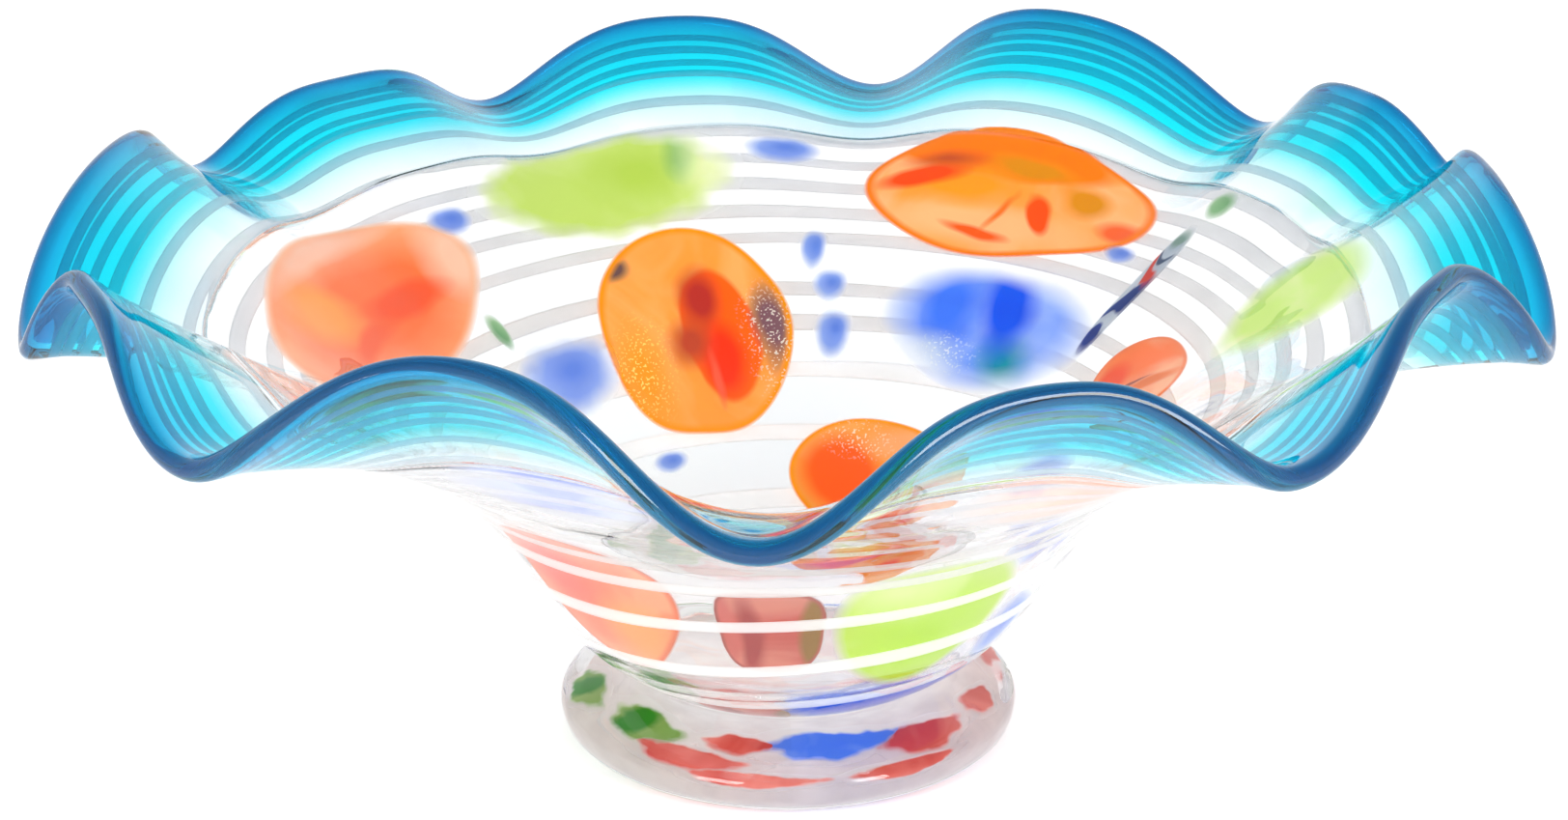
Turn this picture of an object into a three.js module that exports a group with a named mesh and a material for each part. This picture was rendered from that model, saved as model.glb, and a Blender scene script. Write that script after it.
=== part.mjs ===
// Art glass bowl: a clear blown bowl on a clear foot, with an aqua lip wrap pinched into a ruffle,
// a white trail wound round the outside, pieces of coloured glass laid on the inside, and streaks of
// colour drawn round the foot.
// Units are millimetres. +Z is up, the foot rests on z = 0, and the front of the bowl faces -Y.
import * as THREE from "three";

// Driving dimensions
const WALL = 4.6; // thickness of the blown wall
const FLOOR_WALL = 8; // thickness of the wall at the middle of the floor
const FLOOR_HEIGHT = 18; // height of the middle of the wall above the table, on the axis
const JOINT_GAP = 0.3; // clearance between two pieces that touch
const FACE_GAP = 0.5; // clearance of the trail and patches, which cross the straight-edged faces
const LIP_START = 203; // distance along the wall, from the axis, where the aqua wrap begins
const LIP_END = 247.5; // distance along the wall, from the axis, to the middle of the lip bead
const LIP_BEAD = 6; // diameter of the fire-polished bead on the lip
const RUFFLE_START = 151; // distance along the wall where the ruffle begins to grow
const RUFFLE_ANGLE = 23; // degrees that a full crest tilts the wall at the lip
const RUFFLE_GROWTH = 1.2; // power by which the ruffle grows towards the lip
const CREST_FULLNESS = 0.28; // how much broader the crests are than the troughs
const FOOT_RADIUS = 65.5; // outside radius of the foot
const FOOT_BASE_RADIUS = 57; // radius of the flat base
const FOOT_EDGE_HEIGHT = 8; // height at which the foot is widest
const SHOULDER_HEIGHT = 15; // height that the shoulder of the foot rounds off towards
const SHOULDER_RADIUS = 50; // radius at which the shoulder turns up into the neck
const NECK_RADIUS = 44; // radius of the neck between the foot and the bowl
const TRAIL_HEIGHT = 1; // how far the trail stands out from the wall
const PATCH_HEIGHT = 1.2; // thickness of a coloured patch at its middle

// Counts
const STEPS_AROUND = 88; // straight steps in one turn of the ruffled wall, and half as many below it
const FOOT_STEPS = 48; // straight steps in one turn of the foot
const ARC_STEP = 2; // step of the sums along the wall

// The slope of the unruffled wall in degrees, at distances along the wall from the axis.
const SLOPE = [
  [0, 0],
  [28, 4],
  [46, 28],
  [58, 38],
  [72, 51],
  [88, 58.5],
  [100, 59.5],
  [112, 57],
  [125, 46.5],
  [140, 39.5],
  [156, 35],
  [180, 33.5],
  [210, 25.5],
  [260, 25.5],
];

// The ruffle, pinched by hand: each trough and crest has an angle round the bowl in degrees and a
// height, where 1 is a full crest and -1 a full trough.
const RUFFLE = [
  [-92, -0.68],
  [-72, 1.1],
  [-55.5, -0.5],
  [-31, 1.1],
  [-18.5, -0.87],
  [2, 0.78],
  [17, -0.2],
  [27, 0.8],
  [43, -0.77],
  [62.5, 1.18],
  [82, -1.06],
  [101.5, 0.6],
  [119, -1],
  [135, 0.1],
  [151, -0.9],
  [171, 0.8],
  [196, -0.98],
  [204, 0.57],
  [226.5, -0.8],
  [246.5, 1.32],
];

// The trail, laid on by hand: its distance along the wall each time it crosses the back of the bowl.
const TRAIL_TURNS = [
  52, 73, 93, 113, 129, 140, 159, 170, 180.5, 190.5, 202.5, 216, 227, 232, 237.5, 241.5, 245,
];
const TRAIL_SWAY = 4; // how far the lower turns lean up towards +X
const TRAIL_SWAY_END = 175; // distance along the wall where the turns stop leaning

// The coloured glass: the angle of each piece round the bowl in degrees, its distance along the wall
// from the axis, and its half width and half height.
const PATCHES = {
  orange_patch_1: { colour: 0xf06a10, angle: 108, along: 127, half: [31, 35.5] },
  orange_patch_2: { colour: 0xf06a10, angle: 60.5, along: 181, half: [46.5, 26] },
  orange_patch_3: { colour: 0xf06a10, angle: 68, along: 80, half: [25, 20] },
  orange_patch_4: { colour: 0xf07040, angle: 164.5, along: 169, half: [54, 28] },
  orange_patch_5: { colour: 0xe86a30, angle: 14, along: 135, half: [18, 20] },
  orange_patch_6: { colour: 0xf0a070, angle: -58, along: 183, half: [40, 24] },
  coral_patch_1: { colour: 0xf08058, angle: -127, along: 107, half: [24, 33] },
  red_patch_1: { colour: 0xb05048, angle: -93, along: 100, half: [13.5, 20] },
  red_patch_2: { colour: 0xb03c38, angle: -103, along: 50, half: [13, 8] },
  lime_patch_1: { colour: 0xb8d848, angle: 114.5, along: 184, half: [38, 20] },
  lime_patch_2: { colour: 0xb8d848, angle: -64.5, along: 100, half: [25.5, 31] },
  lime_patch_3: { colour: 0xb8d848, angle: 4, along: 186, half: [20, 26] },
  blue_patch_1: { colour: 0x3070e0, angle: 52.5, along: 133.5, half: [34, 20] },
  blue_patch_2: { colour: 0x6088e0, angle: -112, along: 186, half: [30, 18] },
  blue_patch_3: { colour: 0x3070e0, angle: 15, along: 92, half: [17, 14] },
  blue_patch_4: { colour: 0x3068d8, angle: -57, along: 52.5, half: [22, 8] },
  green_patch_1: { colour: 0x489048, angle: -150, along: 50, half: [15, 9] },
  blue_chip_1: { colour: 0x3868d8, angle: 81.5, along: 125, half: [4.8, 8] },
  blue_chip_2: { colour: 0x3868d8, angle: 86, along: 154, half: [3.5, 7.5] },
  blue_chip_3: { colour: 0x5878d0, angle: 91, along: 195, half: [10.5, 5.5] },
  blue_chip_4: { colour: 0x3868d8, angle: 136, along: 120, half: [16, 11] },
  blue_chip_5: { colour: 0x5878d0, angle: 137.5, along: 182, half: [7, 5.5] },
  blue_chip_6: { colour: 0x3868d8, angle: -38, along: 84, half: [7, 14] },
  blue_chip_7: { colour: 0x3868d8, angle: 39.5, along: 170, half: [5.5, 3.5] },
  blue_chip_8: { colour: 0x5878d0, angle: 83, along: 141, half: [4.5, 5] },
  blue_chip_9: { colour: 0x3868d8, angle: 119, along: 87, half: [5, 3.5] },
  green_chip_1: { colour: 0x58a060, angle: 31, along: 197, half: [5, 6] },
  green_chip_2: { colour: 0x58a060, angle: 144.5, along: 141, half: [3, 8] },
  cane_chip_1: { colour: 0x305090, angle: 32, along: 160, half: [3, 29] },
};

// The streaks in the foot: the angle of each one round the bowl in degrees, its distance up the
// shoulder from the widest part of the foot, and its half width and half height.
const STREAKS = {
  foot_streak_green_1: { colour: 0x58a848, angle: -166, up: 10, half: [9, 5] },
  foot_streak_green_2: { colour: 0x58a848, angle: -136, up: 13, half: [12, 5] },
  foot_streak_green_3: { colour: 0x58a848, angle: 112, up: 9, half: [14, 4] },
  foot_streak_red_1: { colour: 0xc84040, angle: -117, up: 7.5, half: [14, 3] },
  foot_streak_red_2: { colour: 0xc84040, angle: -104, up: 15.5, half: [9, 3.5] },
  foot_streak_red_3: { colour: 0xb84048, angle: -47, up: 11, half: [12, 5] },
  foot_streak_red_4: { colour: 0xb84048, angle: -98, up: 3, half: [15, 2] },
  foot_streak_red_5: { colour: 0xb84048, angle: -58, up: 3, half: [12, 2] },
  foot_streak_red_6: { colour: 0x885058, angle: -20, up: 11, half: [7, 4] },
  foot_streak_red_7: { colour: 0xc84040, angle: 22, up: 9, half: [15, 4] },
  foot_streak_blue_1: { colour: 0x4068d8, angle: -75, up: 15.5, half: [18, 4] },
  foot_streak_blue_2: { colour: 0x4068d8, angle: 66, up: 13, half: [17, 5] },
};
const PATCH_SIDES = 18; // straight edges round a patch
const CHIP_SIDES = 10; // straight edges round a piece whose half width is under CHIP_WIDTH
const CHIP_WIDTH = 12;

const radians = THREE.MathUtils.degToRad;

// Distances along the wall where its straight-edged faces meet.
const BODY_STATIONS = [24, ...spaced(38, 74, 4), ...spaced(88, 148, 6), ...spaced(162, LIP_START, 4)];
const LIP_STATIONS = spaced(LIP_START, LIP_END - LIP_BEAD / 2, 3);
const STATIONS = [...BODY_STATIONS, ...LIP_STATIONS.slice(1), LIP_END];

// Reads a table of [place, value] rows, sorted by place, with straight lines between the rows.
function lookUp(table, place) {
  const last = table.length - 1;
  let i = 1;
  while (i < last && table[i][0] < place) i += 1;
  const [x0, y0] = table[i - 1];
  const [x1, y1] = table[i];
  const share = THREE.MathUtils.clamp((place - x0) / (x1 - x0), 0, 1);
  return y0 + (y1 - y0) * share;
}

// The height of the ruffle at an angle round the bowl in degrees: cosine arcs between its rows.
function ruffleAt(angle) {
  const first = RUFFLE[0][0];
  const turned = THREE.MathUtils.euclideanModulo(angle - first, 360) + first;
  const rows = [...RUFFLE, [first + 360, RUFFLE[0][1]]];
  const i = rows.findIndex((row) => row[0] > turned);
  const [a0, h0] = rows[i - 1];
  const [a1, h1] = rows[i];
  const wave = -Math.cos((Math.PI * (turned - a0)) / (a1 - a0));
  const height = h0 + ((h1 - h0) * (1 + wave)) / 2;
  return height + CREST_FULLNESS * (1 - wave * wave);
}

// The slope of the wall in radians, with the ruffle. The wall bends without stretching, so a crest
// stands steeper, higher and nearer to the axis, and a trough lies flatter, lower and further out.
function slopeAt(along, ruffle) {
  const grown = Math.max(0, (along - RUFFLE_START) / (LIP_END - RUFFLE_START));
  return radians(lookUp(SLOPE, along) + RUFFLE_ANGLE * grown ** RUFFLE_GROWTH * ruffle);
}

// The middle of the wall at one angle round the bowl, as a function of the distance along it.
function meridian(angle) {
  const ruffle = ruffleAt(angle);
  const points = [new THREE.Vector2(0, FLOOR_HEIGHT)];
  for (let along = ARC_STEP; along <= LIP_END + 2 * ARC_STEP; along += ARC_STEP) {
    const slope = slopeAt(along - ARC_STEP / 2, ruffle);
    const step = new THREE.Vector2(Math.cos(slope), Math.sin(slope)).multiplyScalar(ARC_STEP);
    points.push(points[points.length - 1].clone().add(step));
  }
  return (along) => {
    const i = Math.min(Math.floor(along / ARC_STEP), points.length - 2);
    return points[i].clone().lerp(points[i + 1], along / ARC_STEP - i);
  };
}
const meridians = new Map();

// A point of the middle of the wall, at a distance along the wall and an angle in degrees.
function wallMiddle(along, angle) {
  const key = angle.toFixed(4);
  if (!meridians.has(key)) meridians.set(key, meridian(angle));
  const flat = meridians.get(key)(along);
  const turn = radians(angle);
  return new THREE.Vector3(flat.x * Math.cos(turn), flat.x * Math.sin(turn), flat.y);
}

// A point that lies off the middle of the wall by a distance, measured square to the wall and
// counted positive outwards, which is downwards on the flare.
const NUDGE = 0.5;
function wallPoint(along, angle, off) {
  const here = Math.max(along, NUDGE);
  const up = wallMiddle(here + NUDGE, angle).sub(wallMiddle(here - NUDGE, angle));
  const round = wallMiddle(here, angle + NUDGE).sub(wallMiddle(here, angle - NUDGE));
  const outwards = round.cross(up).normalize();
  if (along === 0) outwards.set(0, 0, -1);
  return wallMiddle(along, angle).addScaledVector(outwards, off);
}

// Evenly spaced values from a start to an end, both included.
function spaced(from, to, steps) {
  return Array.from({ length: steps + 1 }, (_, i) => from + ((to - from) * i) / steps);
}

// Half of the wall's thickness: thick on the floor and even from the neck upwards.
function halfWall(along) {
  const share = THREE.MathUtils.smoothstep(along, 0, 1.6 * NECK_RADIUS);
  return THREE.MathUtils.lerp(FLOOR_WALL, WALL, share) / 2;
}

// Splits a square of four corners, in order round it, into two triangles, along the diagonal that
// leaves the face hollow rather than bulging, so that touching pieces stay clear of each other.
function splitSquare(corners, points) {
  const [a, b, c, d] = corners;
  const normal = points[b].clone().sub(points[a]).cross(points[c].clone().sub(points[a]));
  const hollow = normal.dot(points[d].clone().sub(points[a])) > 0;
  return hollow ? [a, b, c, a, c, d] : [a, b, d, b, c, d];
}

// A closed solid through rings of points, where a ring of one point is a tip, and a ring may have
// twice as many points as the next. Seen from outside, a ring's points run to the right and the
// rings run upwards.
function skin(rings, closesOnItself = false) {
  const points = rings.flat();
  const index = [];
  const last = closesOnItself ? rings.length : rings.length - 1;
  let start = 0;
  for (let i = 0; i < last; i += 1) {
    const next = (i + 1) % rings.length;
    const nextStart = next === 0 ? 0 : start + rings[i].length;
    const counts = [rings[i].length, rings[next].length];
    const steps = Math.max(...counts);
    for (let j = 0; j < steps; j += 1) {
      const [a, c] = counts.map((count) => Math.floor((j * count) / steps));
      const [b, d] = counts.map((count) => Math.floor(((j + 1) * count) / steps) % count);
      const corners = [start + a, nextStart + c, nextStart + d, start + b];
      if (a === b) index.push(...corners.slice(0, 3));
      else if (c === d) index.push(corners[0], corners[1], corners[3]);
      else index.push(...splitSquare(corners, points));
    }
    start += rings[i].length;
  }
  const geometry = new THREE.BufferGeometry().setFromPoints(points);
  geometry.setIndex(index);
  geometry.computeVertexNormals();
  return geometry;
}

// The straight steps in one turn of the wall, at a distance along it.
function stepsAround(along) {
  return along < RUFFLE_START ? STEPS_AROUND / 2 : STEPS_AROUND;
}

// A ring of the wall: the same distance along it and off it, all the way round.
function wallRing(along, off) {
  const angles = spaced(0, 360, stepsAround(along)).slice(0, -1);
  return angles.map((angle) => wallPoint(along, angle, off));
}

// A point that stands clear of the straight-edged faces of the wall. The side is 1 for the outside
// and -1 for the inside.
function facePoint(along, angle, side, clear) {
  const i = Math.max(1, STATIONS.findIndex((station) => station > along));
  const [low, high] = [STATIONS[i - 1], STATIONS[i]].map((station) => {
    const step = 360 / stepsAround(station);
    const from = Math.floor(angle / step) * step;
    const off = side * (halfWall(station) + clear);
    const next = wallPoint(station, from + step, off);
    return wallPoint(station, from, off).lerp(next, (angle - from) / step);
  });
  return low.lerp(high, (along - STATIONS[i - 1]) / (STATIONS[i] - STATIONS[i - 1]));
}

function material(colour, roughness, opacity) {
  const clear = opacity < 1;
  return new THREE.MeshStandardMaterial({
    color: colour,
    roughness,
    metalness: 0,
    transparent: clear,
    opacity,
  });
}

function piece(name, geometry, look) {
  const mesh = new THREE.Mesh(geometry, look);
  mesh.name = name;
  return mesh;
}

// The bowl: one blown wall from the middle of the floor to the seam under the aqua wrap.
function makeBody() {
  const stations = [...BODY_STATIONS.slice(0, -1), LIP_START - JOINT_GAP / 2];
  const tip = (off) => [wallPoint(0, 0, off)];
  const inside = stations.map((along) => wallRing(along, -halfWall(along)));
  const outside = stations.map((along) => wallRing(along, halfWall(along))).reverse();
  const rings = [tip(-halfWall(0)), ...inside, ...outside, tip(halfWall(0))];
  return piece("bowl_body", skin(rings), material(0xf4f8f8, 0.04, 0.3));
}

// The lip wrap: an aqua band that thickens into a round bead on the ruffled edge.
function makeLipWrap() {
  const stations = [LIP_START + JOINT_GAP / 2, ...LIP_STATIONS.slice(1)];
  const bead = [-90, -35, 35, 90].map((degrees) => {
    const turn = radians(degrees);
    return [LIP_END + (LIP_BEAD / 2) * Math.cos(turn), (LIP_BEAD / 2) * Math.sin(turn)];
  });
  const section = [
    ...stations.map((along) => [along, -halfWall(along)]),
    ...bead,
    ...stations.reverse().map((along) => [along, halfWall(along)]),
  ];
  const rings = section.map(([along, off]) => wallRing(along, off));
  return piece("lip_wrap", skin(rings, true), material(0x10b8dc, 0.05, 0.6));
}

// The top of the foot, where the bowl sits: from the neck to the axis, as radius and height.
function footSeat() {
  return spaced(NECK_RADIUS, 8, 4).map((along) => {
    const point = wallPoint(along, 0, halfWall(along) + JOINT_GAP);
    return new THREE.Vector2(point.x, point.z);
  });
}

// The outside of the foot: from the flat base round the edge, and up the shoulder to the neck.
function footOutline() {
  const outline = new THREE.Path();
  const neck = footSeat()[0];
  outline.moveTo(0, 0);
  outline.lineTo(FOOT_BASE_RADIUS, 0);
  outline.quadraticCurveTo(FOOT_RADIUS, 0, FOOT_RADIUS, FOOT_EDGE_HEIGHT);
  outline.bezierCurveTo(FOOT_RADIUS, SHOULDER_HEIGHT, SHOULDER_RADIUS, SHOULDER_HEIGHT, neck.x, neck.y);
  return outline;
}

// A point that stands off the shoulder of the foot.
function shoulderPoint(up, angle, off) {
  const shoulder = footOutline().curves.at(-1);
  const share = up / shoulder.getLength();
  const point = shoulder.getPointAt(share);
  const tangent = shoulder.getTangentAt(share);
  const radius = point.x + tangent.y * off;
  const turn = radians(angle);
  return new THREE.Vector3(radius * Math.cos(turn), radius * Math.sin(turn), point.y - tangent.x * off);
}

// The foot: a flat-based disc with a round edge, whose top is dished to carry the bowl.
function makeFoot() {
  const middle = new THREE.Vector2(0, FLOOR_HEIGHT - FLOOR_WALL / 2 - JOINT_GAP);
  const profile = [...footOutline().getPoints(5), ...footSeat().slice(1), middle];
  const geometry = new THREE.LatheGeometry(profile, FOOT_STEPS);
  geometry.rotateX(Math.PI / 2);
  return piece("foot", geometry, material(0xf0f4f6, 0.04, 0.35));
}

// The white trail: one thread of glass wound round the outside from the neck to the lip. It lies
// wide on the bowl and is drawn thinner on the aqua wrap.
function makeTrail() {
  const turns = TRAIL_TURNS.map((along, i) => [360 * i, along]);
  const end = 360 * (TRAIL_TURNS.length - 1);
  const step = 360 / STEPS_AROUND;
  const rings = [];
  for (let wound = 0; wound <= end; wound += lookUp(turns, wound) < RUFFLE_START ? 2 * step : step) {
    const angle = (wound + 90) % 360;
    const middle = lookUp(turns, wound);
    const lean = 1 - THREE.MathUtils.smoothstep(middle, RUFFLE_START, TRAIL_SWAY_END);
    const along = middle + TRAIL_SWAY * lean * Math.cos(radians(angle));
    const half = THREE.MathUtils.mapLinear(along, 60, LIP_END, 2.8, 1.2);
    rings.push([
      facePoint(along - half, angle, 1, FACE_GAP),
      facePoint(along, angle, 1, FACE_GAP + TRAIL_HEIGHT),
      facePoint(along + half, angle, 1, FACE_GAP),
    ]);
  }
  const tips = [rings[0], rings[rings.length - 1]].map((ring) => {
    const middle = new THREE.Vector3();
    ring.forEach((p) => middle.addScaledVector(p, 1 / ring.length));
    return [middle];
  });
  const thread = skin([tips[0], ...rings, tips[1]]);
  return piece("white_trail", thread, material(0xf6f6f4, 0.15, 0.9));
}

// A thin lens of glass on a surface. Its outline is an ellipse with a slight waver, which differs
// from lens to lens. The place function gives the point at a distance to the right, a distance up
// and a height off the surface.
function lens(half, seed, place) {
  const sides = half[0] < CHIP_WIDTH ? CHIP_SIDES : PATCH_SIDES;
  const at = (share, turn, height) => {
    const waver = 1 + 0.03 * Math.sin(3 * turn + seed);
    const [right, up] = [Math.cos(turn), Math.sin(turn)].map((side, i) => half[i] * share * waver * side);
    return place(right, up, height);
  };
  const ring = (share, height) => {
    const turns = spaced(0, 2 * Math.PI, sides).slice(0, -1);
    return turns.map((turn) => at(share, turn, height));
  };
  const shares = half[0] < CHIP_WIDTH ? [0.6] : [0.3, 0.6, 0.85];
  return skin([
    [at(0, 0, PATCH_HEIGHT)],
    ...shares.map((share) => ring(share, PATCH_HEIGHT)),
    ring(1, 0.4 * PATCH_HEIGHT),
    ring(1, 0),
    ...shares.reverse().map((share) => ring(share, 0)),
    [at(0, 0, 0)],
  ]);
}

// A coloured patch, which follows the inside of the wall.
function makePatch(name, { colour, angle, along, half }) {
  const centre = wallMiddle(along, angle);
  const radius = Math.hypot(centre.x, centre.y);
  const geometry = lens(half, angle, (right, up, height) => {
    const round = THREE.MathUtils.radToDeg(right / radius);
    return facePoint(along + up, angle - round, -1, height + FACE_GAP);
  });
  return piece(name, geometry, material(colour, 0.1, 0.85));
}

// A coloured streak, which follows the shoulder of the foot.
function makeStreak(name, { colour, angle, up: middle, half }) {
  const geometry = lens(half, angle, (right, up, height) => {
    const round = THREE.MathUtils.radToDeg(right / FOOT_RADIUS);
    return shoulderPoint(middle + up, angle + round, height + FACE_GAP);
  });
  return piece(name, geometry, material(colour, 0.1, 0.85));
}

const bowl = new THREE.Group();
bowl.name = "art_glass_bowl";
bowl.add(makeFoot(), makeBody(), makeLipWrap(), makeTrail());
for (const [name, patch] of Object.entries(PATCHES)) bowl.add(makePatch(name, patch));
for (const [name, streak] of Object.entries(STREAKS)) bowl.add(makeStreak(name, streak));

export default bowl;
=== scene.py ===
"""The looks of the art glass bowl, in metres, in the row's frame.

The blown wall is worked out as one fine sheet, and the bowl, the aqua lip, the trail and the
coloured patches are laid on it or in it. The foot is turned from its own outline.
"""

import math
from dataclasses import dataclass

import bpy
import numpy as np
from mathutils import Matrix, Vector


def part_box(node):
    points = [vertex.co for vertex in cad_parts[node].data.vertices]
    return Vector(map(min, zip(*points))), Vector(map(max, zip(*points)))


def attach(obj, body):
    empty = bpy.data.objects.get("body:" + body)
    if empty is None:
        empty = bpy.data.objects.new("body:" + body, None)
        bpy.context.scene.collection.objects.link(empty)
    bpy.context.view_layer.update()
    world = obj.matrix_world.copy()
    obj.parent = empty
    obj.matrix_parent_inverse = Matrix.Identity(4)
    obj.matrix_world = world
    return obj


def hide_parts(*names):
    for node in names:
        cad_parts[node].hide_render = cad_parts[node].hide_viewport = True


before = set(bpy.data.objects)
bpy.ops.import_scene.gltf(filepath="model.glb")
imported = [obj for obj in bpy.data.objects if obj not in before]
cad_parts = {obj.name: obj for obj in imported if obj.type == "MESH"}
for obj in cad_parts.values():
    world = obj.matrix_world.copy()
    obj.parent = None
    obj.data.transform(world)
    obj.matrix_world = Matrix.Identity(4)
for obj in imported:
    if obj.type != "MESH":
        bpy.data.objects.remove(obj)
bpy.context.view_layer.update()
MM = 0.001

# Driving dimensions in millimetres, the same as the CAD model's
WALL = 4.6
FLOOR_WALL = 8.0
FLOOR_HEIGHT = 18.0
NECK_RADIUS = 44.0
LIP_START = 203.0
LIP_END = 247.5
LIP_BEAD = 6.0
RUFFLE_START = 151.0
RUFFLE_ANGLE = 23.0
RUFFLE_GROWTH = 1.2
CREST_FULLNESS = 0.28
SEAM = 0.04  # the gap between the clear wall and the aqua wrap, too thin to see

# The slope of the unruffled wall in degrees, at distances along the wall from the axis
SLOPE = [
    (0, 0), (28, 4), (46, 28), (58, 38), (72, 51), (88, 58.5), (100, 59.5),
    (112, 57), (125, 46.5), (140, 39.5), (156, 35), (180, 33.5), (210, 25.5), (260, 25.5),
]

# Each trough and crest of the ruffle: its angle round the bowl in degrees, and its height
RUFFLE = [
    (-92, -0.68), (-72, 1.1), (-55.5, -0.5), (-31, 1.1), (-18.5, -0.87),
    (2, 0.78), (17, -0.2), (27, 0.8), (43, -0.77), (62.5, 1.18),
    (82, -1.06), (101.5, 0.6), (119, -1), (135, 0.1), (151, -0.9),
    (171, 0.8), (196, -0.98), (204, 0.57), (226.5, -0.8), (246.5, 1.32),
]

# The trail's distance along the wall each time it crosses the back of the bowl
TRAIL_TURNS = [
    52, 73, 93, 113, 129, 140, 159, 170, 180.5, 190.5, 202.5, 216, 227, 232, 237.5, 241.5, 245,
]
TRAIL_SWAY = 4.0
TRAIL_SWAY_END = 175.0
TRAIL_THICKNESS = 0.9
TRAIL_DEPTH = 0.35  # how far the trail lies below the outside of the wall
TRAIL_SIDES = 8

# The foot's outline, as in the CAD model
EDGE_ROUND = 8.5
EDGE_HEIGHT = 8.0
SHOULDER_HEIGHT = 15.0
SHOULDER_RADIUS = 50.0
NECK_GAP = 0.3  # how far the foot's outline ends off the outside of the bowl

# How deep the coloured glass lies: the middle of a patch off the middle of the wall, the middle of a
# streak off the foot's surface, and half of the thickness of each. Minus is into the glass.
PATCH_OFF = -0.6
PATCH_HALF = 1.1
STREAK_OFF = -1.3
STREAK_HALF = 0.6

# How finely the pieces are divided
AROUND = 576  # steps in one turn of the wall
SHEET_STEP = 1.0  # step of the sheet along the wall, in millimetres
SHEET_SPARE = 8  # how far the sheet runs on past the middle of the lip's bead
BODY_START = 3  # distance from the axis to the first ring of the body
BODY_STEP = 2.5  # step of the body's rings along the wall
LIP_STEP = 1.5  # step of the lip's rings along the wall
BEAD_RINGS = 15  # rings round the lip's bead
BEAD_SWELL = 10  # distance along the wall over which the lip swells into its bead
LENS_SIDES = 72  # points round a lens
LENS_RINGS = 14  # rings from the middle of a lens to its edge, with the middle counted
FOOT_SIDES = 192  # points round the foot
BASE_START = 4  # radius of the first ring of the foot's flat base
BASE_RINGS = 9  # rings on the flat base
EDGE_RINGS = 14  # rings round the foot's edge
SHOULDER_RINGS = 24  # rings up the foot's shoulder, with the edge's last one counted
SEAT_RINGS = 16  # rings on the dished top of the foot, with the neck's counted
SEAT_END = 2  # distance from the axis to the last ring of the dished top


# ---------------------------------------------------------------- the sheet of the wall

def smoothstep(low, high, value):
    """0 below low, 1 above high, and a smooth rise between them."""
    share = np.clip((value - low) / (high - low), 0.0, 1.0)
    return share * share * (3 - 2 * share)


def ruffle_at(angle):
    """The height of the ruffle at angles in degrees: cosine arcs between the rows."""
    rows = np.array(RUFFLE + [(RUFFLE[0][0] + 360, RUFFLE[0][1])])
    turned = np.mod(angle - rows[0, 0], 360) + rows[0, 0]
    i = np.clip(np.searchsorted(rows[:, 0], turned, side="right"), 1, len(rows) - 1)
    share = (turned - rows[i - 1, 0]) / (rows[i, 0] - rows[i - 1, 0])
    wave = -np.cos(np.pi * share)
    height = rows[i - 1, 1] + (rows[i, 1] - rows[i - 1, 1]) * (1 + wave) / 2
    return height + CREST_FULLNESS * (1 - wave**2)


def make_sheet():
    """The middle of the wall and its outward directions, on a grid of distance and angle."""
    along = np.arange(0, LIP_END + SHEET_SPARE, SHEET_STEP)
    angle = np.arange(AROUND) * 360 / AROUND
    places, slopes = zip(*SLOPE)
    half_way = along[1:] - SHEET_STEP / 2
    grown = np.clip((half_way - RUFFLE_START) / (LIP_END - RUFFLE_START), 0, None)
    ruffled = RUFFLE_ANGLE * (grown**RUFFLE_GROWTH)[:, None] * ruffle_at(angle)[None, :]
    slope = np.radians(np.interp(half_way, places, slopes)[:, None] + ruffled)
    start = np.zeros((1, AROUND))
    radius = np.concatenate([start, np.cumsum(np.cos(slope) * SHEET_STEP, axis=0)])
    height = np.concatenate([start, np.cumsum(np.sin(slope) * SHEET_STEP, axis=0)]) + FLOOR_HEIGHT
    turn = np.radians(angle)[None, :]
    middle = np.stack([radius * np.cos(turn), radius * np.sin(turn), height], axis=-1)
    up = np.gradient(middle, axis=0)
    round_ = np.roll(middle, -1, axis=1) - np.roll(middle, 1, axis=1)
    outward = np.cross(round_, up)
    outward[0] = (0, 0, -1)
    outward /= np.linalg.norm(outward, axis=-1, keepdims=True)
    return middle, outward


MIDDLE, OUTWARD = make_sheet()


def on_wall(along, angle, off):
    """Points at distances along the wall, angles in degrees and millimetres off its middle."""
    along, angle, off = np.broadcast_arrays(along, angle, off)
    row = np.clip(along / SHEET_STEP, 0, len(MIDDLE) - 1.001)
    column = np.mod(angle, 360) * AROUND / 360
    i, j = row.astype(int), column.astype(int) % AROUND
    u, v = (row - i)[..., None], (column - column.astype(int))[..., None]
    k = (j + 1) % AROUND

    def read(grid):
        low = grid[i, j] * (1 - v) + grid[i, k] * v
        high = grid[i + 1, j] * (1 - v) + grid[i + 1, k] * v
        return low * (1 - u) + high * u

    return (read(MIDDLE) + read(OUTWARD) * off[..., None]) * MM


def half_wall(along):
    """Half of the wall's thickness: thick on the floor and even from the neck upwards."""
    return (FLOOR_WALL + (WALL - FLOOR_WALL) * smoothstep(0, 1.6 * NECK_RADIUS, along)) / 2


# ---------------------------------------------------------------- meshes

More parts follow.
